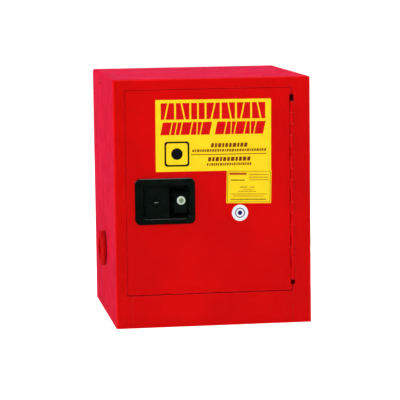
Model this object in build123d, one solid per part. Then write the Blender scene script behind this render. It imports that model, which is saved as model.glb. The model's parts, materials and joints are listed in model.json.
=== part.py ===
"""Bench-top flammable storage cabinet: double-walled steel box, one door, paddle latch.

Millimetres. The origin is the middle of the base on the bench, +X to the right of
someone facing the door, +Y to the back and +Z up.
"""

import os
from math import radians, tan

from build123d import *

# Cabinet body
WIDTH = 444.5
DEPTH = 457.2
HEIGHT = 558.8
SHEET = 1.2
AIR_GAP = 38.1
BEND = 4.5
FRONT = -DEPTH / 2
BACK = DEPTH / 2
SIDE = WIDTH / 2

# Door opening in the front, and the deeper pocket beside the hinge
OPENING_X = (-197.1, 180.5)
OPENING_Z = (73.5, 535.4)
RAIL_X = (-186.0, 180.5)
HINGE_POCKET_X = 185.0
HINGE_POCKET_Z = (88.0, 519.0)
FRAME_DEPTH = 40.0
SEAM = 0.5

# Liner
LINER_X = SIDE - SHEET - AIR_GAP
LINER_TOP = HEIGHT - SHEET - AIR_GAP
LINER_BACK = BACK - SHEET - AIR_GAP
LINER_FRONT = FRONT + FRAME_DEPTH + SHEET
FLOOR = SHEET + AIR_GAP
SUMP_HEIGHT = 51.0
SUMP_TOP = FLOOR + SHEET + SUMP_HEIGHT

# Shelf and the slotted columns that carry its clips
SLOT_PITCH = 38.0
SLOT_FIRST = 125.0
SLOT_ROWS = 10
SLOT_SIZE = (4.0, 12.0)
COLUMN_Y = 120.0
SHELF_ROW = 4
SHELF_X = 178.5
SHELF_Y = 165.0
SHELF_LIP = 12.5
CLIP_SHEET = 1.6
CLIP_TOP = SLOT_FIRST + SHELF_ROW * SLOT_PITCH + 13.0
REST_GAP = 0.3

# Vents, low on the left and high on the right
VENT_Z = {"left": 152.5, "right": 400.0}
VENT_Y = 0.0
TUBE_RADIUS = 25.4
TUBE_WALL = 2.5
CAP_RADIUS = 40.5
CAP_THICK = 12.0
CAP_ROUND = 6.5
CAP_BACK_ROUND = 2.6
GASKET_THICK = 1.0

# Hinge
AXIS_X = 180.25
AXIS_Y = FRONT - 0.8
KNUCKLE_RADIUS = 3.5
PIN_RADIUS = 1.5
RUNNING = 0.05
LEAF_SHEET = 0.9
KNUCKLES = 16
KNUCKLE_GAP = 0.3
HINGE_Z = (99.0, 503.0)

# Door
DOOR_X = (-196.5, 179.5)
DOOR_Z = (74.9, 534.8)
DOOR_NOTCH_X = 175.5
DOOR_BACK = FRONT + 38.1
RIM_BACK = FRONT + 14.0
RIM_FLANGE = 12.0
DOOR_BEND = 1.6
INNER_PAN_X = (-190.5, 171.25)
INNER_PAN_Z = (79.25, 530.5)
LABEL_THICK = 0.3

# Labels stuck on the door: centre, size, tilt in degrees
PLACARD = ((2.2, 431.0), (260.8, 160.3), -0.45)
DATA_LABEL = ((81.2, 313.4), (101.8, 75.2), -1.6)
STICKER = ((60.2, 254.6), 18.3)

# Recessed handle
BEZEL_X = (-177.0, -41.0)
BEZEL_Z = (233.5, 337.0)
BEZEL_PROUD = 3.5
GASKET = 0.5
DISH_X = (-158.0, -54.0)
DISH_Z = (246.0, 320.0)
DISH_FLOOR = FRONT + 17.5
DISH_WALL = 2.5
DISH_BACK = DISH_FLOOR + DISH_WALL
PADDLE_RIGHT = -100.0
PADDLE_FACE = FRONT
PADDLE_THICK = 4.0
PADDLE_PIVOT = (-153.5, FRONT + 3.6)
LOCK_X = -72.3
LOCK_Z = 286.0
BOSS_FACE = FRONT + 4.1

# Latch train, layered from front to back behind the dish
BRACKET_BACK = DISH_BACK + 2.0
BAR_Y = (BRACKET_BACK + 1.6, BRACKET_BACK + 4.6)
ROTOR_Y = (BAR_Y[1] + 0.5, BAR_Y[1] + 3.0)
ROTOR_X = -118.0
ROTOR_Z = 286.0
ARM = 20.0
HALF_SWING = 18.0
THROW = 2 * ARM * tan(radians(HALF_SWING))
REST_OFFSET = THROW / 2
BAR_WIDTH = 12.0
GUIDE_GAP = 0.4
TAIL_Z = (280.0, 286.0)
CAM_REACH = 18.0

parts = {}


def block(x, y, z):
    """Box between three (low, high) pairs."""
    spans = (x, y, z)
    middle = [(low + high) / 2 for low, high in spans]
    return Pos(*middle) * Box(*[high - low for low, high in spans])


def along_y(x, z, radius, y):
    """Round bar along Y between two depths."""
    return Pos(x, (y[0] + y[1]) / 2, z) * Rot(90, 0, 0) * Cylinder(radius, y[1] - y[0])


def along_z(x, y, radius, z):
    """Round bar along Z between two heights."""
    return Pos(x, y, (z[0] + z[1]) / 2) * Cylinder(radius, z[1] - z[0])


def along_x(y, z, radius, x):
    """Round bar along X between two sides."""
    return Pos((x[0] + x[1]) / 2, y, z) * Rot(0, 90, 0) * Cylinder(radius, x[1] - x[0])


def slab(outline, y):
    """Extrudes an outline drawn in X and Z between two depths."""
    plane = Plane(origin=(0, y[1], 0), x_dir=(1, 0, 0), z_dir=(0, -1, 0))
    return extrude(plane * outline, amount=y[1] - y[0])


def rounded(x, z, radius):
    """Rounded rectangle drawn in X and Z."""
    size = RectangleRounded(x[1] - x[0], z[1] - z[0], radius)
    return Pos((x[0] + x[1]) / 2, (z[0] + z[1]) / 2) * size


def grow(span, amount):
    """A (low, high) pair made longer at both ends."""
    return (span[0] - amount, span[1] + amount)


def notched(x, z, notch_x, notch_z):
    """Rectangle whose right edge steps to notch_x between two heights."""
    points = [
        (x[0], z[0]),
        (x[1], z[0]),
        (x[1], notch_z[0]),
        (notch_x, notch_z[0]),
        (notch_x, notch_z[1]),
        (x[1], notch_z[1]),
        (x[1], z[1]),
        (x[0], z[1]),
    ]
    return make_face(Polyline(points, close=True))


def rounded_cover(x, y, z, radius):
    """Box with rounded top side edges, front upright edges and front top edge."""
    solid = block(x, y, z)
    sides = solid.edges().filter_by(Axis.Y).group_by(Axis.Z)[-1]
    uprights = solid.edges().filter_by(Axis.Z).group_by(Axis.Y)[0]
    brow = solid.edges().filter_by(Axis.X).group_by(Axis.Z)[-1].sort_by(Axis.Y)[0]
    return fillet([*sides, *uprights, brow], radius)


def coil(radius, wire, pitch, turns):
    """Round-wire coil about Z, starting at z = 0."""
    path = Helix(pitch, pitch * turns, radius)
    section = Plane(origin=path @ 0, z_dir=path % 0) * Circle(wire / 2)
    return sweep(section, path=path, is_frenet=True)


# ---------------------------------------------------------------- outer cabinet
shell = rounded_cover((-SIDE, SIDE), (FRONT, BACK), (0, HEIGHT), BEND)
shell -= rounded_cover(
    (-SIDE + SHEET, SIDE - SHEET),
    (FRONT + SHEET, BACK + SHEET),
    (-SHEET, HEIGHT - SHEET),
    BEND - SHEET,
)
front_cut = (FRONT - SHEET, FRONT + 2 * SHEET)
shell -= slab(notched(OPENING_X, OPENING_Z, HINGE_POCKET_X, HINGE_POCKET_Z), front_cut)
shell -= block(RAIL_X, front_cut, (-SHEET, OPENING_Z[0] + SHEET))
shell -= block(
    (OPENING_X[1] - SEAM / 2, OPENING_X[1] + SEAM / 2),
    (FRONT - SHEET, FRONT + SHEET / 2),
    (OPENING_Z[1] - SHEET, HEIGHT - BEND),
)
shell -= along_x(VENT_Y, VENT_Z["left"], TUBE_RADIUS, (-SIDE - 1, -SIDE + 3))
shell -= along_x(VENT_Y, VENT_Z["right"], TUBE_RADIUS, (SIDE - 3, SIDE + 1))
PLUG_Y = 56.0
PLUG_Z = 535.0
PLUG_RADIUS = 1.9
shell -= along_x(PLUG_Y, PLUG_Z, PLUG_RADIUS, (-SIDE - 1, -SIDE + 3))
parts["outer_shell"] = shell

plug = along_x(PLUG_Y, PLUG_Z, PLUG_RADIUS, (-SIDE, -SIDE + 6))
plug += along_x(PLUG_Y, PLUG_Z, PLUG_RADIUS + 0.6, (-SIDE - 0.8, -SIDE))
parts["side_plug"] = plug

LAP = 14.0
rail = block(grow(RAIL_X, -SEAM), (FRONT, FRONT + SHEET), (0, OPENING_Z[0]))
rail += block(
    grow(RAIL_X, LAP),
    (FRONT + SHEET, FRONT + 2 * SHEET),
    (SHEET, OPENING_Z[0] - SHEET),
)
parts["front_bottom_rail"] = rail

inner_side = SIDE - SHEET
PANEL_FLANGE = 12.0


def back_tray(inset, y, low):
    """Solid with the back panel's outline, set in by a distance."""
    solid = block(
        (-inner_side + inset, inner_side - inset), y, (low, HEIGHT - SHEET - inset)
    )
    corners = solid.edges().filter_by(Axis.Y).group_by(Axis.Z)[-1]
    return fillet(corners, BEND - inset)


panel = back_tray(0, (BACK - PANEL_FLANGE, BACK), SHEET)
panel -= back_tray(SHEET, (BACK - 2 * PANEL_FLANGE, BACK - SHEET), 2 * SHEET)
GROUND_X = -190.0
GROUND_Z = 40.0
GROUND_RADIUS = 3.0
panel -= along_y(GROUND_X, GROUND_Z, GROUND_RADIUS, (BACK - 3, BACK + 1))
parts["back_panel"] = panel

HEX_FLATS = 10.0
hexagon = Pos(GROUND_X, GROUND_Z) * RegularPolygon(HEX_FLATS / 2, 6, major_radius=False)
screw = slab(hexagon, (BACK, BACK + 4))
screw += along_y(GROUND_X, GROUND_Z, GROUND_RADIUS, (BACK - 14, BACK))
parts["ground_screw"] = screw

BASE_FLANGE = 15.0
base_front = FRONT + 2 * SHEET


def base_tray(inset, y_back, z):
    """Solid with the base pan's outline, set in by a distance."""
    solid = block(
        (-inner_side + inset, inner_side - inset), (base_front + inset, y_back), z
    )
    corners = solid.edges().filter_by(Axis.Z).group_by(Axis.Y)[0]
    return fillet(corners, BEND - inset)


base = base_tray(0, BACK, (0, BASE_FLANGE))
base -= base_tray(SHEET, BACK + 1, (SHEET, BASE_FLANGE + 1))
base -= block(
    (-SIDE, SIDE), (BACK - PANEL_FLANGE - 2, BACK + 1), (SHEET, BASE_FLANGE + 1)
)
parts["base_pan"] = base

CHANNEL_X = 110.0
CHANNEL_WIDTH = 36.0
CHANNEL_HALF_LENGTH = 178.0
for side, sign in (("left", -1), ("right", 1)):
    centre = sign * CHANNEL_X
    width = (centre - CHANNEL_WIDTH / 2, centre + CHANNEL_WIDTH / 2)
    length = (-CHANNEL_HALF_LENGTH, CHANNEL_HALF_LENGTH)
    channel = block(width, length, (SHEET, FLOOR))
    channel -= block(grow(width, -SHEET), grow(length, 1), (0, FLOOR - SHEET))
    parts["floor_channel_" + side] = channel

# ---------------------------------------------------------------- door frame
frame_y = (FRONT + SHEET, FRONT + FRAME_DEPTH)
frame_outline = notched(
    grow(OPENING_X, SHEET),
    grow(OPENING_Z, SHEET),
    HINGE_POCKET_X + SHEET,
    grow(HINGE_POCKET_Z, SHEET),
)
door_frame = slab(frame_outline, frame_y)
door_frame -= slab(
    notched(OPENING_X, OPENING_Z, HINGE_POCKET_X, HINGE_POCKET_Z), grow(frame_y, 1)
)
STOP_LOW = 60.0
stop = block(
    (OPENING_X[0] - SHEET, HINGE_POCKET_X + SHEET),
    (frame_y[1], frame_y[1] + SHEET),
    (STOP_LOW, OPENING_Z[1] + SHEET),
)
stop -= block(
    (-LINER_X + SHEET, OPENING_X[1]),
    grow((frame_y[1], frame_y[1] + SHEET), 1),
    (SUMP_TOP, LINER_TOP - SHEET),
)
door_frame += stop

bar_middle = (BAR_Y[0] + BAR_Y[1]) / 2
STRIKE_HALF = (7.5, 2.7)
upper_x = ROTOR_X + ARM
lower_x = ROTOR_X - ARM
bolt_z = ROTOR_Z + ARM
across_rod = (-STRIKE_HALF[0], STRIKE_HALF[0])
through_rod = (bar_middle - STRIKE_HALF[1], bar_middle + STRIKE_HALF[1])
top_window = block(
    (upper_x - STRIKE_HALF[0], upper_x + STRIKE_HALF[0]),
    through_rod,
    (OPENING_Z[1] - 1, OPENING_Z[1] + 5),
)
bottom_window = block(
    (lower_x - STRIKE_HALF[0], lower_x + STRIKE_HALF[0]),
    through_rod,
    (OPENING_Z[0] - 5, OPENING_Z[0] + 1),
)
side_window = block(
    (OPENING_X[0] - 5, OPENING_X[0] + 1),
    through_rod,
    (bolt_z - STRIKE_HALF[0], bolt_z + STRIKE_HALF[0]),
)
door_frame -= top_window
door_frame -= bottom_window
door_frame -= side_window
parts["door_frame"] = door_frame

PLATE = 1.6
PLATE_HALF = (14.0, 8.5)
plate_y = (bar_middle - PLATE_HALF[1], bar_middle + PLATE_HALF[1])
parts["strike_plate_top"] = (
    block(
        (upper_x - PLATE_HALF[0], upper_x + PLATE_HALF[0]),
        plate_y,
        (OPENING_Z[1] + SHEET, OPENING_Z[1] + SHEET + PLATE),
    )
    - top_window
)
parts["strike_plate_bottom"] = (
    block(
        (lower_x - PLATE_HALF[0], lower_x + PLATE_HALF[0]),
        plate_y,
        (OPENING_Z[0] - SHEET - PLATE, OPENING_Z[0] - SHEET),
    )
    - bottom_window
)
parts["strike_plate_side"] = (
    block(
        (OPENING_X[0] - SHEET - PLATE, OPENING_X[0] - SHEET),
        plate_y,
        (bolt_z - PLATE_HALF[0], bolt_z + PLATE_HALF[0]),
    )
    - side_window
)

# ---------------------------------------------------------------- liner
liner = block((-LINER_X, LINER_X), (LINER_FRONT, LINER_BACK - SHEET), (FLOOR, LINER_TOP))
liner -= block(
    (-LINER_X + SHEET, LINER_X - SHEET),
    (LINER_FRONT - 1, LINER_BACK),
    (FLOOR - 1, LINER_TOP - SHEET),
)
wall = {"left": (-LINER_X - 1, -LINER_X + 3), "right": (LINER_X - 3, LINER_X + 1)}
for side, span in wall.items():
    liner -= along_x(VENT_Y, VENT_Z[side], TUBE_RADIUS, span)
    for row in range(SLOT_ROWS):
        slot_z = SLOT_FIRST + row * SLOT_PITCH
        for slot_y in (-COLUMN_Y, COLUMN_Y):
            liner -= block(
                span,
                (slot_y - SLOT_SIZE[0] / 2, slot_y + SLOT_SIZE[0] / 2),
                (slot_z - SLOT_SIZE[1] / 2, slot_z + SLOT_SIZE[1] / 2),
            )
parts["liner_wrap"] = liner

parts["liner_back"] = block(
    (-LINER_X, LINER_X), (LINER_BACK - SHEET, LINER_BACK), (FLOOR, LINER_TOP)
)

sump_x = (-LINER_X + SHEET, LINER_X - SHEET)
sump_y = (LINER_FRONT, LINER_BACK - SHEET)
sump = block(sump_x, sump_y, (FLOOR, SUMP_TOP))
sump -= block(grow(sump_x, -SHEET), grow(sump_y, -SHEET), (FLOOR + SHEET, SUMP_TOP + 1))
parts["sump_pan"] = sump

CLIP_WIDTH = 18.0
CLIP_DROP = 22.0
CLIP_LEDGE = 14.0
HOOK_DEPTH = 4.0
liner_face = LINER_X - SHEET
for side, sign in (("left", -1), ("right", 1)):
    for end, clip_y in (("front", -COLUMN_Y), ("rear", COLUMN_Y)):
        y_span = (clip_y - CLIP_WIDTH / 2, clip_y + CLIP_WIDTH / 2)
        upright = sorted((sign * liner_face, sign * (liner_face - CLIP_SHEET)))
        ledge = sorted((sign * liner_face, sign * (liner_face - CLIP_LEDGE)))
        hook = sorted((sign * liner_face, sign * (liner_face + HOOK_DEPTH)))
        clip = block(upright, y_span, (CLIP_TOP - CLIP_DROP, CLIP_TOP))
        clip += block(ledge, y_span, (CLIP_TOP - CLIP_SHEET, CLIP_TOP))
        clip += block(
            hook, (clip_y - 1.5, clip_y + 1.5), (CLIP_TOP - 18.0, CLIP_TOP - 9.0)
        )
        parts[f"shelf_clip_{end}_{side}"] = clip

tray_z = (CLIP_TOP + REST_GAP, CLIP_TOP + REST_GAP + SHELF_LIP)
tray = block((-SHELF_X, SHELF_X), (-SHELF_Y, SHELF_Y), tray_z)
tray -= block(
    (-SHELF_X + SHEET, SHELF_X - SHEET),
    (-SHELF_Y + SHEET, SHELF_Y - SHEET),
    (tray_z[0] + SHEET, tray_z[1] + 1),
)
parts["shelf_tray"] = tray

# ---------------------------------------------------------------- vents
BORE_RADIUS = TUBE_RADIUS - TUBE_WALL
FLANGE_RADIUS = 33.0
FLANGE_THICK = 2.0
CAP_PLUG = 13.0
CAP_DISH_RADIUS = 24.0
CAP_DISH_DEPTH = 5.0
SCREEN_THICK = 0.8


def rim(solid, place):
    """A disc's circular edge nearest to (0) or furthest from (-1) the cabinet's middle."""
    circles = solid.edges().filter_by(GeomType.CIRCLE)
    return sorted(circles, key=lambda edge: abs(edge.center().X))[place]


for side, sign in (("left", -1), ("right", 1)):
    height = VENT_Z[side]

    def disc(radius, start, end):
        """Disc on the vent's axis between two distances from the middle."""
        return along_x(VENT_Y, height, radius, sorted((sign * start, sign * end)))

    inner = liner_face - FLANGE_THICK
    tube = disc(TUBE_RADIUS, inner, SIDE) + disc(FLANGE_RADIUS, inner, liner_face)
    parts["vent_tube_" + side] = tube - disc(BORE_RADIUS, inner - 1, SIDE + 1)

    screen = disc(BORE_RADIUS, SIDE - 27, SIDE - 27 + SCREEN_THICK)
    hole = disc(1.8, SIDE - 28, SIDE - 25)
    screen -= hole
    for ring, count in ((6.0, 6), (12.0, 12), (18.0, 18)):
        for place in PolarLocations(ring, count):
            shift = place.position
            screen -= Pos(0, shift.X, shift.Y) * hole
    parts["vent_screen_" + side] = screen

    gasket_x = (SIDE, SIDE + GASKET_THICK)
    gasket = disc(CAP_RADIUS - CAP_BACK_ROUND, *gasket_x) - disc(BORE_RADIUS, SIDE - 1, SIDE + 2)
    parts["vent_gasket_" + side] = gasket

    cap_face = SIDE + GASKET_THICK + CAP_THICK
    cap = disc(CAP_RADIUS, SIDE + GASKET_THICK, cap_face)
    cap = fillet(rim(cap, -1), CAP_ROUND)
    cap = fillet(rim(cap, 0), CAP_BACK_ROUND)
    cap -= disc(CAP_DISH_RADIUS, cap_face - CAP_DISH_DEPTH, cap_face + 1)
    cap += disc(BORE_RADIUS, SIDE - CAP_PLUG, SIDE + GASKET_THICK)
    cap -= disc(BORE_RADIUS - 3, SIDE - CAP_PLUG - 1, SIDE + GASKET_THICK)
    parts["vent_cap_" + side] = cap

# ---------------------------------------------------------------- hinge
leaf_y = (FRONT + 2.0, FRONT + 13.0)
web_y = (AXIS_Y + 0.6, AXIS_Y + 3.4)
leaf_edge = {"door": DOOR_NOTCH_X, "frame": HINGE_POCKET_X}
pitch = (HINGE_Z[1] - HINGE_Z[0] + KNUCKLE_GAP) / KNUCKLES
for index, (side, edge) in enumerate(leaf_edge.items()):
    inward = 1 if side == "door" else -1
    strip = sorted((edge, edge + inward * LEAF_SHEET))
    leaf = block(strip, leaf_y, HINGE_Z)
    web = sorted((edge, AXIS_X - inward * 2.2))
    for knuckle in range(index, KNUCKLES, 2):
        low = HINGE_Z[0] + knuckle * pitch
        z = (low, low + pitch - KNUCKLE_GAP)
        leaf += block(web, web_y, z) + along_z(AXIS_X, AXIS_Y, KNUCKLE_RADIUS, z)
    bore = PIN_RADIUS + (RUNNING if side == "door" else 0.0)
    leaf -= along_z(AXIS_X, AXIS_Y, bore, grow(HINGE_Z, 1))
    parts[f"hinge_{side}_leaf"] = leaf
parts["hinge_pin"] = along_z(AXIS_X, AXIS_Y, PIN_RADIUS, grow(HINGE_Z, 0.8))

# ---------------------------------------------------------------- door
dish_body_x = grow(DISH_X, DISH_WALL)
dish_body_z = grow(DISH_Z, DISH_WALL)
skin = slab(
    notched(DOOR_X, DOOR_Z, DOOR_NOTCH_X, HINGE_POCKET_Z), (FRONT, RIM_BACK)
)
skin = fillet(skin.edges().group_by(Axis.Y)[0], DOOR_BEND)
cavity = notched(
    grow(DOOR_X, -SHEET),
    grow(DOOR_Z, -SHEET),
    DOOR_NOTCH_X - SHEET,
    grow(HINGE_POCKET_Z, SHEET),
)
skin -= slab(cavity, (FRONT + SHEET, RIM_BACK - SHEET))
skin -= block(
    (DOOR_X[0] + RIM_FLANGE, DOOR_NOTCH_X - RIM_FLANGE),
    (FRONT + 2 * SHEET, RIM_BACK + 1),
    grow(DOOR_Z, -RIM_FLANGE),
)
skin -= slab(
    rounded(grow(dish_body_x, 1.0), grow(dish_body_z, 1.0), 9.0),
    (FRONT - 1, FRONT + 2 * SHEET),
)
parts["door_skin"] = skin

inner_y = (RIM_BACK, DOOR_BACK)
inner_pan = block(INNER_PAN_X, inner_y, INNER_PAN_Z)
inner_pan -= block(
    grow(INNER_PAN_X, -SHEET), (RIM_BACK - 1, DOOR_BACK - SHEET), grow(INNER_PAN_Z, -SHEET)
)
notch_y = grow(BAR_Y, 0.6)
notch_half = BAR_WIDTH / 2 + 0.8
inner_pan -= block(
    (upper_x - notch_half, upper_x + notch_half), notch_y, (500, INNER_PAN_Z[1] + 1)
)
inner_pan -= block(
    (lower_x - notch_half, lower_x + notch_half), notch_y, (INNER_PAN_Z[0] - 1, 100)
)
inner_pan -= block(
    (INNER_PAN_X[0] - 1, -160), notch_y, (bolt_z - notch_half, bolt_z + notch_half)
)
ACCESS_X = (-166.0, -50.0)
ACCESS_Z = (232.0, 340.0)
COVER_LAP = 12.0
SCREW_RADIUS = 2.0
inner_pan -= slab(rounded(ACCESS_X, ACCESS_Z, 6.0), (DOOR_BACK - 3, DOOR_BACK + 1))
cover_y = (DOOR_BACK, DOOR_BACK + SHEET)
cover = slab(rounded(grow(ACCESS_X, COVER_LAP), grow(ACCESS_Z, COVER_LAP), 8.0), cover_y)
screws = Part()
for screw_x in grow(ACCESS_X, COVER_LAP / 2):
    for screw_z in grow(ACCESS_Z, COVER_LAP / 2):
        shank = along_y(screw_x, screw_z, SCREW_RADIUS, (DOOR_BACK - 6, DOOR_BACK + SHEET))
        head = along_y(screw_x, screw_z, 3.8, (cover_y[1], cover_y[1] + 1.8))
        head = fillet(head.edges().group_by(Axis.Y)[-1], 0.8)
        inner_pan -= shank
        cover -= shank
        screws += shank + head
parts["door_inner_pan"] = inner_pan
parts["latch_cover"] = cover
parts["cover_screws"] = screws

label_y = (FRONT - LABEL_THICK, FRONT)


def label(place, radius):
    """Label with rounded corners, tilted about its centre."""
    centre, size, tilt = place
    outline = Pos(*centre) * Rot(0, 0, tilt) * RectangleRounded(*size, radius)
    return slab(outline, label_y)


placard = label(PLACARD, 2.0)
parts["placard"] = placard
parts["data_label"] = label(DATA_LABEL, 1.5) - placard
parts["round_sticker"] = slab(Pos(*STICKER[0]) * Circle(STICKER[1]), label_y)

# ---------------------------------------------------------------- handle dish
bezel_front = FRONT - BEZEL_PROUD
flange_back = FRONT - GASKET
bezel = slab(rounded(BEZEL_X, BEZEL_Z, 12.5), (bezel_front, flange_back))
bezel = fillet(bezel.edges().group_by(Axis.Y)[0], 2.0)
bezel += slab(rounded(dish_body_x, dish_body_z, 8.0), (flange_back - 0.5, DISH_BACK))
MOUTH_DEPTH = BEZEL_PROUD - REST_GAP
MOUTH_ROUND = 0.9
mouth_y = (bezel_front - 1, bezel_front + MOUTH_DEPTH)
bezel -= slab(rounded(DISH_X, DISH_Z, 7.0), mouth_y)
mouth_rim = bezel.faces().sort_by(Axis.Y)[0].inner_wires()[0]
bezel = fillet(mouth_rim.edges(), MOUTH_ROUND)
bezel -= slab(
    rounded((DISH_X[0], PADDLE_RIGHT + 1.0), DISH_Z, 1.5), (mouth_y[1] - 1, DISH_FLOOR)
)
SCOOP_DRAFT = 6.0
SCOOP_LEFT = -112.0


def facing(y, outline):
    """Outline in X and Z placed at a depth."""
    return (Plane(origin=(0, y, 0), x_dir=(1, 0, 0), z_dir=(0, -1, 0)) * outline).face()


scoop = loft(
    [
        facing(mouth_y[1], rounded((SCOOP_LEFT, DISH_X[1]), DISH_Z, 7.0)),
        facing(
            DISH_FLOOR,
            rounded((SCOOP_LEFT, DISH_X[1] - SCOOP_DRAFT), grow(DISH_Z, -SCOOP_DRAFT), 5.0),
        ),
    ]
)
bezel -= scoop
BOSS_X = (LOCK_X - 15.0, LOCK_X + 13.0)
BOSS_Z = (LOCK_Z - 27.0, LOCK_Z + 17.0)
BOSS_SLOPE = 10.0
boss = loft(
    [
        facing(DISH_FLOOR + 0.5, rounded(grow(BOSS_X, BOSS_SLOPE), grow(BOSS_Z, BOSS_SLOPE), 6.0)),
        facing(BOSS_FACE, rounded(BOSS_X, BOSS_Z, 3.0)),
    ]
)
bezel += boss & block((-110, dish_body_x[1] - 1), (-300, -200), DISH_Z)
LOCK_BODY = 8.0
bezel -= along_y(LOCK_X, LOCK_Z, LOCK_BODY, (BOSS_FACE - 1, DISH_BACK + 1))
tail_slot_x = (-149.5, -134.0)
bezel -= block(tail_slot_x, (DISH_FLOOR - 1, DISH_BACK + 1), grow(TAIL_Z, 1.0))
pivot_x, pivot_y = PADDLE_PIVOT
pin_z = grow(DISH_Z, DISH_WALL)
pin = along_z(pivot_x, pivot_y, PIN_RADIUS, pin_z)
bezel -= pin
parts["paddle_pin"] = pin

gasket_ring = slab(rounded(grow(BEZEL_X, -1.5), grow(BEZEL_Z, -1.5), 11.0), (flange_back, FRONT))
gasket_ring -= slab(rounded(dish_body_x, dish_body_z, 8.0), (flange_back - 1, FRONT + 1))
parts["bezel_gasket"] = gasket_ring

bracket_z = (239.0, 327.0)
bracket_x = (-166.0, -52.0)
bracket = block(bracket_x, (DISH_BACK, BRACKET_BACK), bracket_z)
for leg in ((bracket_z[0], bracket_z[0] + 2), (bracket_z[1] - 2, bracket_z[1])):
    bracket += block(bracket_x, (FRONT + SHEET, DISH_BACK), leg)
bracket -= block(tail_slot_x, (DISH_BACK - 1, BRACKET_BACK + 1), grow(TAIL_Z, 1.0))
bracket -= along_y(LOCK_X, LOCK_Z, LOCK_BODY, (DISH_BACK - 1, BRACKET_BACK + 1))
pivot_post = along_y(ROTOR_X, ROTOR_Z, 4.0, (DISH_BACK, ROTOR_Y[1] + 0.4))
bracket -= pivot_post

fixings = Part()
for fix_x in (-151.0, -60.0):
    for fix_z in (252.5, 317.0):
        shank = along_y(fix_x, fix_z, 1.5, (DISH_FLOOR + 0.3, BRACKET_BACK))
        bezel -= shank
        bracket -= shank
        fixings += shank + along_y(fix_x, fix_z, 2.8, (BRACKET_BACK, BRACKET_BACK + 1.4))
parts["bezel"] = bezel
parts["latch_bracket"] = bracket
parts["bracket_screws"] = fixings

# ---------------------------------------------------------------- paddle
paddle_z = grow(DISH_Z, -0.6)
plate_back = PADDLE_FACE + PADDLE_THICK
barrel_radius = pivot_y - PADDLE_FACE
paddle = block((pivot_x, PADDLE_RIGHT), (PADDLE_FACE, plate_back), paddle_z)
paddle += block((PADDLE_RIGHT - 4, PADDLE_RIGHT), (PADDLE_FACE, FRONT + 11.5), paddle_z)
right_edges = paddle.edges().filter_by(Axis.Z).sort_by(Axis.X)[-2:]
paddle = fillet(right_edges, 1.2)
paddle = fillet(paddle.faces().sort_by(Axis.Y)[0].edges().filter_by(Axis.X), 0.8)
paddle += along_z(pivot_x, pivot_y, barrel_radius, paddle_z)
SPRING_Z = (271.0, 295.0)
SPRING_SKIN = 0.7
paddle -= block(
    (pivot_x - 4, pivot_x + 4.2), (PADDLE_FACE + SPRING_SKIN, FRONT + 12), SPRING_Z
)
TAIL_X = (-148.0, -142.0)
paddle += block(TAIL_X, (PADDLE_FACE + 1, BRACKET_BACK + 0.6), TAIL_Z)
paddle -= along_z(pivot_x, pivot_y, PIN_RADIUS + RUNNING, grow(paddle_z, 1))
button = slab(Pos(-130.7, 287.0) * SlotOverall(11.0, 3.0), (PADDLE_FACE - 0.5, PADDLE_FACE + 1))
paddle += button
parts["paddle"] = paddle

SPRING_WIRE = 0.6
spring = Pos(pivot_x, pivot_y, SPRING_Z[0] + 3) * coil(2.2, SPRING_WIRE, 1.1, 15)
parts["paddle_spring"] = spring

# ---------------------------------------------------------------- lock
PLUG_R = 5.5
HEAD_FRONT = BOSS_FACE - 2.6
housing = along_y(LOCK_X, LOCK_Z, 9.5, (HEAD_FRONT, BOSS_FACE))
housing = fillet(housing.edges().group_by(Axis.Y)[0], 1.5)
housing += along_y(LOCK_X, LOCK_Z, LOCK_BODY, (BOSS_FACE, BRACKET_BACK + 4.2))
housing -= along_y(LOCK_X, LOCK_Z, PLUG_R + RUNNING, (HEAD_FRONT - 1, BRACKET_BACK + 5))
parts["lock_housing"] = housing

nut_y = (BRACKET_BACK, BRACKET_BACK + 3.0)
nut = slab(Pos(LOCK_X, LOCK_Z) * RegularPolygon(10.0, 6, major_radius=False), nut_y)
parts["lock_nut"] = nut - along_y(LOCK_X, LOCK_Z, LOCK_BODY, grow(nut_y, 1))

cam_y = (BRACKET_BACK + 4.6, BRACKET_BACK + 6.6)
lock_plug = along_y(LOCK_X, LOCK_Z, PLUG_R, (HEAD_FRONT - 0.4, cam_y[0]))
lock_plug -= block((LOCK_X - 0.7, LOCK_X + 0.7), (HEAD_FRONT - 1, HEAD_FRONT + 9), (282.4, 289.6))
screw_y = (cam_y[0] - 6, cam_y[1])
cam_shank = along_y(LOCK_X, LOCK_Z, 2.0, screw_y)
parts["lock_plug"] = lock_plug - cam_shank

cam = block((LOCK_X - 5, LOCK_X + 5), cam_y, (LOCK_Z - CAM_REACH, LOCK_Z))
cam += along_y(LOCK_X, LOCK_Z, 7.0, cam_y)
parts["lock_cam"] = cam - cam_shank
parts["cam_screw"] = cam_shank + along_y(LOCK_X, LOCK_Z, 3.6, (cam_y[1], cam_y[1] + 1.8))

# ---------------------------------------------------------------- latch rotor and rods
PIN = 2.5
PIN_GAP = 0.3
ARM_WIDTH = 13.0
swing_reach = ARM / 0.951
rotor = along_y(0, 0, 10.0, ROTOR_Y)
slots = Part()
for turn in (0, 90, 180):
    arm = block((0, ARM + 1), ROTOR_Y, (-ARM_WIDTH / 2, ARM_WIDTH / 2))
    arm += along_y(ARM + 1, 0, ARM_WIDTH / 2, ROTOR_Y)
    slot = slab(
        Pos((ARM + swing_reach) / 2, 0) * SlotOverall(2 * (PIN + PIN_GAP) + 1.6, 2 * (PIN + PIN_GAP)),
        grow(ROTOR_Y, 1),
    )
    rotor += Rot(0, -turn, 0) * arm
    slots += Rot(0, -turn, 0) * slot
rotor -= slots
rotor -= along_y(0, 0, 4.0 + RUNNING, grow(ROTOR_Y, 1))
parts["latch_rotor"] = Pos(ROTOR_X, 0, ROTOR_Z) * Rot(0, HALF_SWING, 0) * rotor

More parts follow.
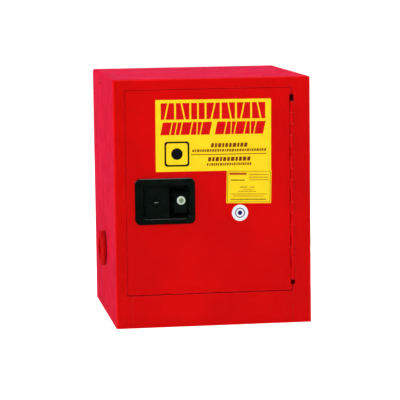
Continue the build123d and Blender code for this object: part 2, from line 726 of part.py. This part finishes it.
pivot = pivot_post + along_y(ROTOR_X, ROTOR_Z, 7.0, (BRACKET_BACK, ROTOR_Y[0] - 0.5))
pivot += along_y(ROTOR_X, ROTOR_Z, 7.0, (ROTOR_Y[1] + 0.4, ROTOR_Y[1] + 2.0))
parts["rotor_pivot"] = pivot
wound = Rot(-90, 0, 0) * coil(8.2, 0.9, 1.05, 3)
parts["rotor_spring"] = Pos(ROTOR_X, BRACKET_BACK + 0.6, ROTOR_Z) * wound

pin_y = (BAR_Y[0], ROTOR_Y[1] + 0.4)
TIP = 2.0
ROD_TOP = INNER_PAN_Z[1] - 0.6
ROD_BOTTOM = INNER_PAN_Z[0] + 0.6
BOLT_TIP = INNER_PAN_X[0] + 0.1
half_bar = BAR_WIDTH / 2
upper_pin_z = ROTOR_Z - REST_OFFSET
lower_pin_z = ROTOR_Z + REST_OFFSET
bolt_pin_x = ROTOR_X + REST_OFFSET
upper = block((upper_x - half_bar, upper_x + half_bar), BAR_Y, (upper_pin_z - 6, ROD_TOP))
upper = chamfer(upper.edges().filter_by(Axis.Y).group_by(Axis.Z)[-1], TIP)
parts["upper_rod"] = upper + along_y(upper_x, upper_pin_z, PIN, pin_y)
lower = block((lower_x - half_bar, lower_x + half_bar), BAR_Y, (ROD_BOTTOM, lower_pin_z + 6))
lower = chamfer(lower.edges().filter_by(Axis.Y).group_by(Axis.Z)[0], TIP)
parts["lower_rod"] = lower + along_y(lower_x, lower_pin_z, PIN, pin_y)
bolt = block((BOLT_TIP, bolt_pin_x + 4), BAR_Y, (bolt_z - half_bar, bolt_z + half_bar))
bolt = chamfer(bolt.edges().filter_by(Axis.Y).group_by(Axis.X)[0], TIP)
parts["latch_bolt"] = bolt + along_y(bolt_pin_x, bolt_z, PIN, pin_y)

guide_y = (BAR_Y[0] - 2.5, DOOR_BACK - SHEET)
window_y = grow(BAR_Y, GUIDE_GAP)
window = half_bar + GUIDE_GAP
guide_half = half_bar + 6
upper_guide = block((upper_x - guide_half, upper_x + guide_half), guide_y, (500, 512))
upper_guide -= block((upper_x - window, upper_x + window), window_y, (499, 513))
parts["rod_guide_upper"] = upper_guide
lower_guide = block((lower_x - guide_half, lower_x + guide_half), guide_y, (95, 107))
lower_guide -= block((lower_x - window, lower_x + window), window_y, (94, 108))
parts["rod_guide_lower"] = lower_guide
bolt_guide = block((-172.2, -167.0), guide_y, (bolt_z - guide_half, bolt_z + guide_half))
bolt_guide -= block((-173, -166), window_y, (bolt_z - window, bolt_z + window))
parts["bolt_guide"] = bolt_guide

os.makedirs("parts", exist_ok=True)
for name, shape in parts.items():
    export_step(shape, f"parts/{name}.step")
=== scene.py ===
"""Looks for the bench-top flammable storage cabinet: materials, printed labels, light, camera."""

import json
import math

import bmesh
import bpy
from mathutils import Matrix, Vector


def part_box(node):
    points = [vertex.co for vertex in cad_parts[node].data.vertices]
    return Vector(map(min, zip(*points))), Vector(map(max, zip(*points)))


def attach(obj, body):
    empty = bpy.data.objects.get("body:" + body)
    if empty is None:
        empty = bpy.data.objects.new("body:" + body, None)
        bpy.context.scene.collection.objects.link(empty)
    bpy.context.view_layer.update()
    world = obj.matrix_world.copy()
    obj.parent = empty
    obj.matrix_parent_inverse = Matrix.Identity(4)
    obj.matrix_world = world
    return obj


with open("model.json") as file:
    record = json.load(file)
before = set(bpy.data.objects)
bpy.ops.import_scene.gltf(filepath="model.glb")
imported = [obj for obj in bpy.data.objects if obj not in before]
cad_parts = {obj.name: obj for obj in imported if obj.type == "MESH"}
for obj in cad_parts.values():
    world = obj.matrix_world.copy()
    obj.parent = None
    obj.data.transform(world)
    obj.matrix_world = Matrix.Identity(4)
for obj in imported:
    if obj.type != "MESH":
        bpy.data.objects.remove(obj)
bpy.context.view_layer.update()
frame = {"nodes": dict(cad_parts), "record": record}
nodes = frame["nodes"]


# ------------------------------------------------------------------ node helpers
class Shader:
    """A material whose nodes are added one call at a time."""

    def __init__(self, name):
        self.material = bpy.data.materials.new(name)
        self.material.use_nodes = True
        self.tree = self.material.node_tree
        self.bsdf = self.tree.nodes["Principled BSDF"]
        self.place = self.add("ShaderNodeTexCoord").outputs["Object"]

    def add(self, kind, **settings):
        node = self.tree.nodes.new(kind)
        for key, value in settings.items():
            setattr(node, key, value)
        return node

    def feed(self, socket, value):
        """Links an output or sets a constant."""
        if isinstance(value, bpy.types.NodeSocket):
            self.tree.links.new(value, socket)
        else:
            socket.default_value = value

    def noise(self, scale, detail=3.0, rough=0.5, place=None):
        node = self.add("ShaderNodeTexNoise")
        self.feed(node.inputs["Vector"], self.place if place is None else place)
        node.inputs["Scale"].default_value = scale
        node.inputs["Detail"].default_value = detail
        node.inputs["Roughness"].default_value = rough
        return node.outputs["Fac"]

    def voronoi(self, scale):
        node = self.add("ShaderNodeTexVoronoi")
        self.feed(node.inputs["Vector"], self.place)
        node.inputs["Scale"].default_value = scale
        return node.outputs["Color"]

    def stretched(self, x, y, z):
        """Object coordinates scaled unevenly, for brushed and drawn marks."""
        node = self.add("ShaderNodeMapping")
        self.feed(node.inputs["Vector"], self.place)
        node.inputs["Scale"].default_value = (x, y, z)
        return node.outputs["Vector"]

    def math(self, operation, a, b=0.0):
        node = self.add("ShaderNodeMath", operation=operation)
        self.feed(node.inputs[0], a)
        self.feed(node.inputs[1], b)
        return node.outputs[0]

    def remap(self, value, low, high, to_low, to_high):
        node = self.add("ShaderNodeMapRange")
        self.feed(node.inputs["Value"], value)
        node.inputs["From Min"].default_value = low
        node.inputs["From Max"].default_value = high
        node.inputs["To Min"].default_value = to_low
        node.inputs["To Max"].default_value = to_high
        return node.outputs["Result"]

    def mix(self, factor, a, b):
        node = self.add("ShaderNodeMix", data_type="RGBA")
        self.feed(node.inputs["Factor"], factor)
        self.feed(node.inputs["A"], a)
        self.feed(node.inputs["B"], b)
        return node.outputs["Result"]

    def edges(self, radius):
        """1 on sharp outer edges, 0 on flats."""
        bevel = self.add("ShaderNodeBevel", samples=6)
        bevel.inputs["Radius"].default_value = radius
        geometry = self.add("ShaderNodeNewGeometry")
        dot = self.add("ShaderNodeVectorMath", operation="DOT_PRODUCT")
        self.feed(dot.inputs[0], bevel.outputs["Normal"])
        self.feed(dot.inputs[1], geometry.outputs["Normal"])
        return self.remap(dot.outputs["Value"], 0.98, 0.86, 0.0, 1.0)

    def bump(self, height, distance, strength=1.0, under=None):
        node = self.add("ShaderNodeBump")
        self.feed(node.inputs["Height"], height)
        node.inputs["Distance"].default_value = distance
        node.inputs["Strength"].default_value = strength
        if under is not None:
            self.feed(node.inputs["Normal"], under)
        return node.outputs["Normal"]

    def finish(self, colour, roughness, normal=None, **constants):
        self.feed(self.bsdf.inputs["Base Color"], colour)
        self.feed(self.bsdf.inputs["Roughness"], roughness)
        if normal is not None:
            self.feed(self.bsdf.inputs["Normal"], normal)
        for key, value in constants.items():
            self.bsdf.inputs[key.replace("_", " ")].default_value = value
        return self.material


def rgba(r, g, b):
    return (r, g, b, 1.0)


def enamel(name, colour, shade, sheen=0.11):
    """Baked enamel on sheet steel: orange peel, faint clouding, dust specks, and paler edges that
    are partly wear and partly a painted highlight.
    """
    s = Shader(name)
    cloud = s.remap(s.noise(7.0, 4.0), 0.35, 0.65, 0.0, 1.0)
    body = s.mix(cloud, colour, shade)
    speck = s.remap(s.noise(950.0, 2.0), 0.70, 0.76, 0.0, 0.35)
    body = s.mix(speck, body, shade)
    patchy = s.remap(s.noise(140.0, 5.0, 0.7), 0.45, 0.62, 0.0, 1.0)
    # Edges turn a paler red: partly chipped wear, partly a painted highlight along the edges.
    edge_wear_and_highlight = s.math("MULTIPLY", s.edges(0.0016), patchy)
    body = s.mix(s.math("MULTIPLY", edge_wear_and_highlight, 0.55), body, EDGE_CHIP_AND_HIGHLIGHT)
    gloss = s.remap(s.noise(22.0, 5.0, 0.62), 0.3, 0.7, 0.34, 0.46)
    peel = s.bump(s.noise(420.0, 2.0, 0.45), 0.00012, 0.45)
    ripple = s.bump(s.noise(9.0, 1.0), 0.0012, 0.12, peel)
    return s.finish(
        body, gloss, ripple, Specular_IOR_Level=0.04,
        Sheen_Weight=sheen, Sheen_Roughness=0.3, Sheen_Tint=rgba(1.0, 0.16, 0.8),
    )


def zinc(name, colour, spangle=0.0):
    """Plated steel, with a drawn grain, or with spangles when spangle is above 0."""
    s = Shader(name)
    grain = s.noise(1.0, 4.0, 0.6, s.stretched(900.0, 900.0, 60.0))
    dark = tuple(0.72 * channel for channel in colour[:3]) + (1.0,)
    body = s.mix(s.remap(grain, 0.35, 0.65, 0.0, 1.0), colour, dark)
    if spangle:
        cells = s.voronoi(spangle)
        tone = s.add("ShaderNodeSeparateColor")
        s.feed(tone.inputs[0], cells)
        body = s.mix(s.remap(tone.outputs[0], 0.0, 1.0, 0.0, 0.6), body, dark)
    tarnish = s.remap(s.noise(35.0, 5.0, 0.65), 0.52, 0.7, 0.0, 0.35)
    body = s.mix(tarnish, body, rgba(0.30, 0.27, 0.20))
    gloss = s.remap(s.noise(120.0, 4.0), 0.3, 0.7, 0.28, 0.46)
    return s.finish(body, gloss, s.bump(grain, 0.00004, 0.4), Metallic=0.6)


def moulded(name, colour, tint, rough=(0.16, 0.26), grain=1400.0, depth=0.00002, edge_wear_and_highlight_colour=None):
    """Moulded plastic or rubber with a fine skin texture, and paler edges that are partly rubbing
    wear and partly a painted highlight.
    """
    s = Shader(name)
    body = s.mix(s.remap(s.noise(60.0, 4.0), 0.35, 0.65, 0.0, 1.0), colour, tint)
    # Edges, in random patches, turn paler: partly rubbing wear, partly a painted highlight.
    rub = s.remap(s.noise(300.0, 4.0, 0.7), 0.5, 0.66, 0.0, 0.5)
    edge_wear_and_highlight = s.math("MULTIPLY", s.edges(0.0009), rub)
    paler = tuple(min(1.0, 3 * channel + 0.01) for channel in tint[:3]) + (1.0,)
    body = s.mix(edge_wear_and_highlight, body, edge_wear_and_highlight_colour or paler)
    gloss = s.remap(s.noise(45.0, 5.0, 0.6), 0.3, 0.7, rough[0], rough[1])
    return s.finish(body, gloss, s.bump(s.noise(grain, 2.0), depth, 0.5), Specular_IOR_Level=0.5)


def vinyl(name, colour, shade):
    """Printed vinyl: ink mottle, scuffs and a faint film texture."""
    s = Shader(name)
    body = s.mix(s.remap(s.noise(40.0, 4.0), 0.3, 0.7, 0.0, 1.0), colour, shade)
    dots = s.remap(s.noise(1600.0, 1.0), 0.62, 0.7, 0.0, 0.25)
    body = s.mix(dots, body, shade)
    gloss = s.remap(s.noise(30.0, 5.0, 0.6), 0.3, 0.7, 0.34, 0.5)
    film = s.bump(s.noise(700.0, 2.0), 0.00002, 0.3)
    return s.finish(body, gloss, film, Specular_IOR_Level=0.06)


def turned(name, colour, centre, metallic, rough):
    """Plated metal turned on a lathe about Y, with fine rings round its axis."""
    s = Shader(name)
    offset = s.add("ShaderNodeVectorMath", operation="SUBTRACT")
    s.feed(offset.inputs[0], s.place)
    offset.inputs[1].default_value = centre
    split = s.add("ShaderNodeSeparateXYZ")
    s.feed(split.inputs[0], offset.outputs[0])
    x2 = s.math("POWER", split.outputs["X"], 2.0)
    z2 = s.math("POWER", split.outputs["Z"], 2.0)
    radius = s.math("SQRT", s.math("ADD", x2, z2))
    rings = s.math("SINE", s.math("MULTIPLY", radius, 16000.0))
    dark = tuple(0.75 * channel for channel in colour[:3]) + (1.0,)
    body = s.mix(s.remap(s.noise(260.0, 3.0), 0.35, 0.65, 0.0, 1.0), colour, dark)
    gloss = s.remap(s.noise(400.0, 3.0), 0.3, 0.7, rough[0], rough[1])
    return s.finish(body, gloss, s.bump(rings, 0.000006, 0.3), Metallic=metallic)


RED = rgba(0.58, 0.0004, 0.0004)
RED_SHADE = rgba(0.51, 0.0003, 0.0003)
# Paler red for the enamel's edges: chipped paint and a painted highlight.
EDGE_CHIP_AND_HIGHLIGHT = rgba(0.75, 0.06, 0.05)
lock_low, lock_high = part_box("lock_housing")
lock_centre = (lock_low + lock_high) / 2

finishes = {
    "cabinet_red": enamel("cabinet_enamel", RED, RED_SHADE),
    "liner_red": enamel("liner_enamel", RED, RED_SHADE),
    # The vent cap wears the cabinet's red paint, coloured darker here: the darker colour is painted
    # shade.
    "cap_red": enamel(
        "vent_cap_enamel_painted_shade", rgba(0.46, 0.001, 0.002), rgba(0.40, 0.001, 0.002), sheen=0.0
    ),
    "zinc_steel": zinc("zinc_plate", rgba(0.62, 0.62, 0.60)),
    "galvanised": zinc("galvanised_sheet", rgba(0.66, 0.67, 0.68), 130.0),
    "black_rubber": moulded(
        "black_rubber", rgba(0.014, 0.014, 0.014), rgba(0.03, 0.03, 0.03), (0.6, 0.8), 900.0, 0.0001
    ),
    # The black moulding's grey-green edge colour is rubbing wear and a painted highlight along its
    # edges.
    "black_plastic": moulded(
        "black_moulding", rgba(0.0016, 0.0036, 0.0024), rgba(0.003, 0.006, 0.0044), (0.10, 0.18),
        edge_wear_and_highlight_colour=rgba(0.07, 0.08, 0.075),
    ),
    "nickel": turned("nickel_plate", rgba(0.84, 0.98, 0.80), lock_centre, 0.3, (0.20, 0.32)),
    "guide_plastic": moulded(
        "guide_moulding", rgba(0.72, 0.70, 0.64), rgba(0.62, 0.60, 0.53), (0.45, 0.6), 800.0
    ),
    "label_yellow": vinyl("placard_yellow", rgba(0.90, 0.62, 0.012), rgba(0.86, 0.57, 0.010)),
    "label_disc": vinyl("sticker_white", rgba(0.80, 0.82, 0.86), rgba(0.72, 0.74, 0.80)),
    "plug_dark": moulded(
        "dark_plug", rgba(0.04, 0.006, 0.008), rgba(0.06, 0.01, 0.012), (0.4, 0.6)
    ),
}
inks = {
    "red": vinyl("ink_red", rgba(0.62, 0.003, 0.002), rgba(0.54, 0.002, 0.002)),
    "black": vinyl("ink_black", rgba(0.003, 0.003, 0.003), rgba(0.006, 0.006, 0.005)),
    "brown": vinyl("ink_brown", rgba(0.19, 0.045, 0.004), rgba(0.15, 0.035, 0.003)),
    "ochre": vinyl("ink_ochre", rgba(0.26, 0.13, 0.008), rgba(0.20, 0.10, 0.006)),
    "rust": vinyl("ink_rust", rgba(0.42, 0.08, 0.006), rgba(0.36, 0.06, 0.005)),
    "blue": vinyl("ink_blue", rgba(0.008, 0.008, 0.11), rgba(0.006, 0.006, 0.09)),
    "pale": vinyl("ink_pale", rgba(0.62, 0.76, 0.82), rgba(0.56, 0.70, 0.76)),
}

for entry in frame["record"]["subparts"]:
    node = nodes[entry["node"]]
    node.data.materials.clear()
    node.data.materials.append(finishes[entry["material_slot"]])
nodes["lock_plug"].data.materials[0] = turned(
    "plug_plate", rgba(0.34, 0.50, 0.32), lock_centre, 0.35, (0.12, 0.22)
)


# ------------------------------------------------------------------ printed labels
INK = 0.00006           # thickness of a printed film
SLIT = 0.055            # half width of a slit, as a share of its block
PLACARD_TILT = -0.45    # degrees, as the labels were stuck on
DATA_LABEL_TILT = -1.6


def new_piece(name, mesh, material, body):
    """An object from a finished mesh, riding on a body."""
    mesh.materials.append(material)
    piece = bpy.data.objects.new(name, mesh)
    bpy.context.scene.collection.objects.link(piece)
    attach(piece, body)
    return piece


def bar(x0, z0, x1, z1, radius, slant=0.0):
    """Outline of a bar with rounded corners, leaning over by slant metres at its top."""
    radius = min(radius, 0.45 * (x1 - x0), 0.45 * (z1 - z0))
    points = []
    for x, z, start in ((x1, z1, 0), (x0, z1, 90), (x0, z0, 180), (x1, z0, 270)):
        cx = x - radius if x == x1 else x + radius
        cz = z - radius if z == z1 else z + radius
        for step in range(4):
            turn = math.radians(start + 30 * step)
            px = cx + radius * math.cos(turn)
            pz = cz + radius * math.sin(turn)
            points.append((px + slant * (pz - z0) / (z1 - z0), pz))
    return points


def circle(cx, cz, radius, count=72):
    """Points round a circle."""
    turns = [2 * math.pi * k / count for k in range(count)]
    return [(cx + radius * math.cos(turn), cz + radius * math.sin(turn)) for turn in turns]


class Field:
    """A label's face: outlines are drawn in metres from its lower left corner, then tilted."""

    def __init__(self, node, tilt):
        low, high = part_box(node)
        self.middle = ((low.x + high.x) / 2, (low.z + high.z) / 2)
        self.surface = low.y
        self.turn = math.radians(tilt)
        flat = [self.turned(v.co.x, v.co.z, -self.turn) for v in nodes[node].data.vertices]
        self.low = (min(x for x, z in flat), min(z for x, z in flat))
        self.width = max(x for x, z in flat) - self.low[0]
        self.height = max(z for x, z in flat) - self.low[1]

    def turned(self, x, z, turn):
        dx, dz = x - self.middle[0], z - self.middle[1]
        return (
            self.middle[0] + dx * math.cos(turn) - dz * math.sin(turn),
            self.middle[1] + dx * math.sin(turn) + dz * math.cos(turn),
        )

    def at(self, u, v):
        return u * self.width, v * self.height

    def bar(self, u0, v0, u1, v1, radius=0.0004, slant=0.0):
        return bar(*self.at(u0, v0), *self.at(u1, v1), radius, slant)

    def dashes(self, u0, u1, v0, v1, widths, gap, slant=0.0):
        """A row of bars of the given relative widths."""
        room = (u1 - u0) - gap * (len(widths) - 1)
        loops = []
        for width in widths:
            step = room * width / sum(widths)
            loops.append(self.bar(u0, v0, u0 + step, v1, 0.0003, slant))
            u0 += step + gap
        return loops

    def blocks(self, u0, u1, v0, v1, cuts, gap, slant=0.0):
        """A row of bold blocks. A cut is a slit's place at foot and head, None for no slit."""
        step = ((u1 - u0) - gap * (len(cuts) - 1)) / len(cuts)
        loops = []
        for k, cut in enumerate(cuts):
            x0, z0 = self.at(u0 + k * (step + gap), v0)
            x1, z1 = self.at(u0 + k * (step + gap) + step, v1)
            if cut is None:
                loops.append([(x0, z0), (x1, z0), (x1 + slant, z1), (x0 + slant, z1)])
                continue
            low, high = cut
            wide = x1 - x0
            loops.append([
                (x0, z0), (x0 + (low - SLIT) * wide, z0),
                (x0 + (high - SLIT) * wide + slant, z1), (x0 + slant, z1),
            ])
            loops.append([
                (x0 + (low + SLIT) * wide, z0), (x1, z0),
                (x1 + slant, z1), (x0 + (high + SLIT) * wide + slant, z1),
            ])
        return loops

    def printed(self, name, loops, ink, rims=()):
        """Ink film on the label: filled outlines, and rims between two outlines."""
        bm = bmesh.new()

        def laid(outline):
            left, foot = self.low
            spots = [self.turned(x + left, z + foot, self.turn) for x, z in outline]
            return [bm.verts.new((x, self.surface, z)) for x, z in spots]

        faces = [bm.faces.new(laid(loop)) for loop in loops]
        for outer, inner in rims:
            out, into = laid(outer), laid(inner)
            for k in range(len(out)):
                n = (k + 1) % len(out)
                faces.append(bm.faces.new((out[k], out[n], into[n], into[k])))
        raised = bmesh.ops.extrude_face_region(bm, geom=faces)
        moved = [v for v in raised["geom"] if isinstance(v, bmesh.types.BMVert)]
        bmesh.ops.translate(bm, verts=moved, vec=(0, -INK, 0))
        bmesh.ops.recalc_face_normals(bm, faces=bm.faces)
        mesh = bpy.data.meshes.new(name)
        bm.to_mesh(mesh)
        bm.free()
        return new_piece(name, mesh, inks[ink], "door")


def toward(points, centre, share):
    """The outline drawn in towards a point."""
    cx, cz = centre
    return [(cx + share * (x - cx), cz + share * (z - cz)) for x, z in points]


# Placard: two lines of abstract bold blocks, a disc in a plain frame, rows of thin dashes
placard = Field("placard", PLACARD_TILT)
LEAN = ((0.30, 0.56), (0.66, 0.40), (0.50, 0.50), (0.36, 0.64), (0.70, 0.48))
heading = placard.blocks(0.045, 0.95, 0.725, 0.955, [LEAN[k % 5] for k in range(7)], 0.016)
placard.printed("placard_heading", heading, "red")
second = []
for start, end, turn in ((0.040, 0.465, 1), (0.510, 0.930, 3)):
    cuts = [LEAN[(k + turn) % 5] if k % 2 else None for k in range(5)]
    second += placard.blocks(start, end, 0.510, 0.688, cuts, 0.009, 0.006)
placard.printed("placard_second_line", second, "red")

FRAME_ROUND, DISC_RADIUS = 0.006, 0.013
square = placard.bar(0.075, 0.070, 0.290, 0.420, FRAME_ROUND)
middle = placard.at(0.1825, 0.245)
placard.printed("placard_frame", [], "black", [(square, toward(square, middle, 0.86))])
placard.printed("placard_disc", [circle(*middle, DISC_RADIUS)], "black")

SMALL = [1.0, 0.8, 1.1, 0.7, 1.0, 0.9, 1.2, 0.8, 1.0, 1.1]
notes = placard.dashes(0.475, 0.790, 0.330, 0.388, SMALL, 0.009, 0.0014)
notes += placard.dashes(0.315, 0.955, 0.268, 0.305, SMALL * 3, 0.007, 0.0009)
notes += placard.dashes(0.450, 0.815, 0.135, 0.193, SMALL + SMALL[:1], 0.009, 0.0014)
notes += placard.dashes(0.440, 0.825, 0.073, 0.110, SMALL * 2, 0.007, 0.0009)
placard.printed("placard_small_lines", notes, "brown")
placard.printed("placard_rule", [placard.bar(0.305, 0.226, 0.962, 0.237)], "brown")

# Data label: a thin frame, two plain bars, rows of dashes
card = Field("data_label", DATA_LABEL_TILT)
frame_out = [card.at(*c) for c in ((0.02, 0.03), (0.98, 0.03), (0.98, 0.965), (0.02, 0.965))]
frame_in = [card.at(*c) for c in ((0.03, 0.043), (0.97, 0.043), (0.97, 0.952), (0.03, 0.952))]
card.printed("data_label_border", [], "brown", [(frame_out, frame_in)])
card.printed("data_label_heading", [card.bar(0.06, 0.850, 0.44, 0.915)], "rust")
lines = []
for u0, u1, v0, v1, count in (
    (0.50, 0.93, 0.845, 0.872, 14), (0.50, 0.93, 0.765, 0.792, 16), (0.52, 0.94, 0.690, 0.715, 14),
    (0.31, 0.46, 0.468, 0.500, 5), (0.53, 0.62, 0.468, 0.500, 3), (0.37, 0.60, 0.405, 0.425, 9),
    (0.26, 0.66, 0.345, 0.370, 14), (0.09, 0.90, 0.262, 0.288, 28), (0.15, 0.83, 0.200, 0.226, 24),
    (0.09, 0.89, 0.092, 0.135, 22),
):
    lines += card.dashes(u0, u1, v0, v1, (SMALL * 3)[:count], 0.008)
card.printed("data_label_lines", lines, "ochre")
card.printed("data_label_bar", [card.bar(0.09, 0.680, 0.41, 0.705)], "black")

# Round sticker: white rim, a plain ring and a plain centre disc
seal = Field("round_sticker", 0.0)
seal_radius = seal.width / 2
hub = (seal_radius, seal_radius)
for name, ink, outer, inner in (
    ("sticker_outer_line", "pale", 0.86, 0.83), ("sticker_ring", "blue", 0.62, 0.50),
):
    rim = (circle(*hub, outer * seal_radius), circle(*hub, inner * seal_radius))
    seal.printed(name, [], ink, [rim])
seal.printed("sticker_centre", [circle(*hub, 0.28 * seal_radius)], "blue")

# ------------------------------------------------------------------ paddle
# A low domed ridge moulded on the middle of the paddle, in metres
RIDGE_HALF_LENGTH, RIDGE_HALF_WIDTH, RIDGE_HEIGHT = 0.0055, 0.0013, 0.0004
RIDGE_RINGS, RIDGE_STEPS = 5, 24
FLAT_FACE_AREA = 1e-5


def domed_ridge(centre_x, face_y, centre_z):
    """Mesh of an oval dome standing out towards -Y."""
    bm = bmesh.new()
    rings = []
    for ring in range(RIDGE_RINGS):
        rise = 0.5 * math.pi * ring / RIDGE_RINGS
        spread, depth = math.cos(rise), face_y - RIDGE_HEIGHT * math.sin(rise)
        loop = []
        for step in range(RIDGE_STEPS):
            turn = 2 * math.pi * step / RIDGE_STEPS
            x = centre_x + RIDGE_HALF_LENGTH * spread * math.cos(turn)
            z = centre_z + RIDGE_HALF_WIDTH * spread * math.sin(turn)
            loop.append(bm.verts.new((x, depth, z)))
        rings.append(loop)
    crown = bm.verts.new((centre_x, face_y - RIDGE_HEIGHT, centre_z))
    for k in range(RIDGE_STEPS):
        n = (k + 1) % RIDGE_STEPS
        for lower, upper in zip(rings, rings[1:]):
            bm.faces.new((lower[k], lower[n], upper[n], upper[k]))
        bm.faces.new((rings[-1][k], rings[-1][n], crown))
    bm.faces.new(rings[0])
    bmesh.ops.recalc_face_normals(bm, faces=bm.faces)
    mesh = bpy.data.meshes.new("paddle_mark")
    bm.to_mesh(mesh)
    bm.free()
    for face in mesh.polygons:
        face.use_smooth = face.area < FLAT_FACE_AREA
    return mesh


paddle_low, paddle_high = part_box("paddle")
paddle_middle = (paddle_low + paddle_high) / 2
ridge = domed_ridge(paddle_middle.x, paddle_low.y, paddle_middle.z)
# The ridge is coloured grey, paler than the black paddle: a painted highlight.
ridge_highlight_finish = moulded("mark_moulding_painted_highlight", rgba(0.12, 0.13, 0.12), rgba(0.08, 0.09, 0.08))
new_piece("paddle_mark", ridge, ridge_highlight_finish, "paddle")

# ------------------------------------------------------------------ camera
camera_data = bpy.data.cameras.new("camera")
camera = bpy.data.objects.new("camera", camera_data)
bpy.context.scene.collection.objects.link(camera)
bpy.context.scene.camera = camera
CAMERA_PLACE = (-0.69656, -4.78680, 0.83872)
YAW, PITCH, ROLL = 0.14516, -0.11938, -0.01277    # radians
FOCAL_LENGTH, SENSOR_WIDTH = 186.53, 36.0         # millimetres
CLIP_END = 120.0
forward = Vector(
    (math.sin(YAW) * math.cos(PITCH), math.cos(YAW) * math.cos(PITCH), math.sin(PITCH))
)
right = Vector((math.cos(YAW), -math.sin(YAW), 0.0))
up = right.cross(forward)
right_rolled = math.cos(ROLL) * right + math.sin(ROLL) * up
up_rolled = -math.sin(ROLL) * right + math.cos(ROLL) * up
axes = Matrix((right_rolled, up_rolled, -forward)).transposed().to_4x4()
camera.matrix_world = Matrix.Translation(CAMERA_PLACE) @ axes
camera_data.lens = FOCAL_LENGTH
camera_data.sensor_width = SENSOR_WIDTH
camera_data.clip_end = CLIP_END


# ------------------------------------------------------------------ floor and light
FLOOR_HALF = 90.0
NEAR, FAR = 1.0, 6.0                # distances over which the floor's glow grows
NEAR_GLOW, FAR_GLOW = 0.62, 1.0
WALL_RADIUS, WALL_HEIGHT, WALL_SIDES = 32.0, 30.0, 64


def scenery(name, corners, faces, cloud_scale, cloud_detail):
    """A pale glowing mesh that isn't part of the object, and its shader."""
    mesh = bpy.data.meshes.new(name)
    mesh.from_pydata(corners, [], faces)
    s = Shader(name)
    cloud = s.remap(s.noise(cloud_scale, cloud_detail), 0.3, 0.7, 0.0, 1.0)
    s.finish(
        s.mix(cloud, rgba(0.80, 0.80, 0.80), rgba(0.78, 0.78, 0.78)), 0.9,
        Specular_IOR_Level=0.0, Emission_Color=rgba(1, 1, 1), Emission_Strength=1.0,
    )
    mesh.materials.append(s.material)
    piece = bpy.data.objects.new(name, mesh)
    bpy.context.scene.collection.objects.link(piece)
    piece.visible_glossy = False
    return piece, s


# The floor glows less near the object, so its shadow stays faint
corners = [
    (x * FLOOR_HALF, y * FLOOR_HALF, 0) for x, y in ((-1, -1), (1, -1), (1, 1), (-1, 1))
]
_, s = scenery("floor", corners, [(0, 1, 2, 3)], 1.5, 2.0)
away = s.add("ShaderNodeVectorMath", operation="LENGTH")
s.feed(away.inputs[0], s.place)
glow = s.remap(away.outputs["Value"], NEAR, FAR, NEAR_GLOW, FAR_GLOW)
s.feed(s.bsdf.inputs["Emission Strength"], glow)

# A white wall far round the floor is seen by the camera only, so it adds no light
turns = [2 * math.pi * k / WALL_SIDES for k in range(WALL_SIDES)]
corners = [
    (WALL_RADIUS * math.cos(turn), WALL_RADIUS * math.sin(turn), z)
    for z in (0, WALL_HEIGHT) for turn in turns
]
faces = []
for k in range(WALL_SIDES):
    n = (k + 1) % WALL_SIDES
    faces.append((k, n, WALL_SIDES + n, WALL_SIDES + k))
wall, _ = scenery("backdrop", corners, faces, 0.05, 3.0)
wall.visible_diffuse = wall.visible_shadow = False

world = bpy.data.worlds.new("studio")
bpy.context.scene.world = world
world.use_nodes = True
background = world.node_tree.nodes["Background"]
background.inputs["Color"].default_value = rgba(0.12, 0.12, 0.13)
background.inputs["Strength"].default_value = 1.0
world.cycles_visibility.glossy = False


def lamp(name, place, target, size, glow, shows):
    """A soft panel light whose face is as bright as glow; shows says if reflections see it."""
    data = bpy.data.lights.new(name, "AREA")
    data.shape = "RECTANGLE"
    data.size, data.size_y = size
    data.energy = glow * math.pi * size[0] * size[1]
    light = bpy.data.objects.new(name, data)
    bpy.context.scene.collection.objects.link(light)
    light.location = place
    aim = Vector(target) - Vector(place)
    light.rotation_euler = aim.to_track_quat("-Z", "Y").to_euler()
    light.visible_glossy = shows
    light.visible_camera = False


for name, place, target, size, glow, shows in (
    ("key", (-1.6, -3.4, 2.4), (0, 0, 0.3), (0.45, 0.45), 20.0, True),
    ("overhead", (0.35, -3.3, 2.6), (0, -0.2, 0.3), (0.9, 0.5), 13.0, True),
    ("side", (-3.2, -0.4, 1.4), (-0.2, 0, 0.3), (1.6, 1.6), 11.0, True),
    ("top", (0.2, -0.2, 3.0), (0, 0, 0.5), (2.0, 2.0), 6.2, True),
    ("right", (3.0, -0.6, 1.4), (0.2, 0, 0.3), (1.4, 1.4), 4.0, True),
    ("back", (0.6, 3.2, 1.8), (0, 0, 0.3), (1.6, 1.6), 5.0, False),
    ("card", (0.95, -4.2, 0.55), (-0.1, -0.25, 0.3), (0.5, 0.9), 2.5, True),
):
    lamp(name, place, target, size, glow, shows)

bpy.context.scene.view_settings.view_transform = "Standard"
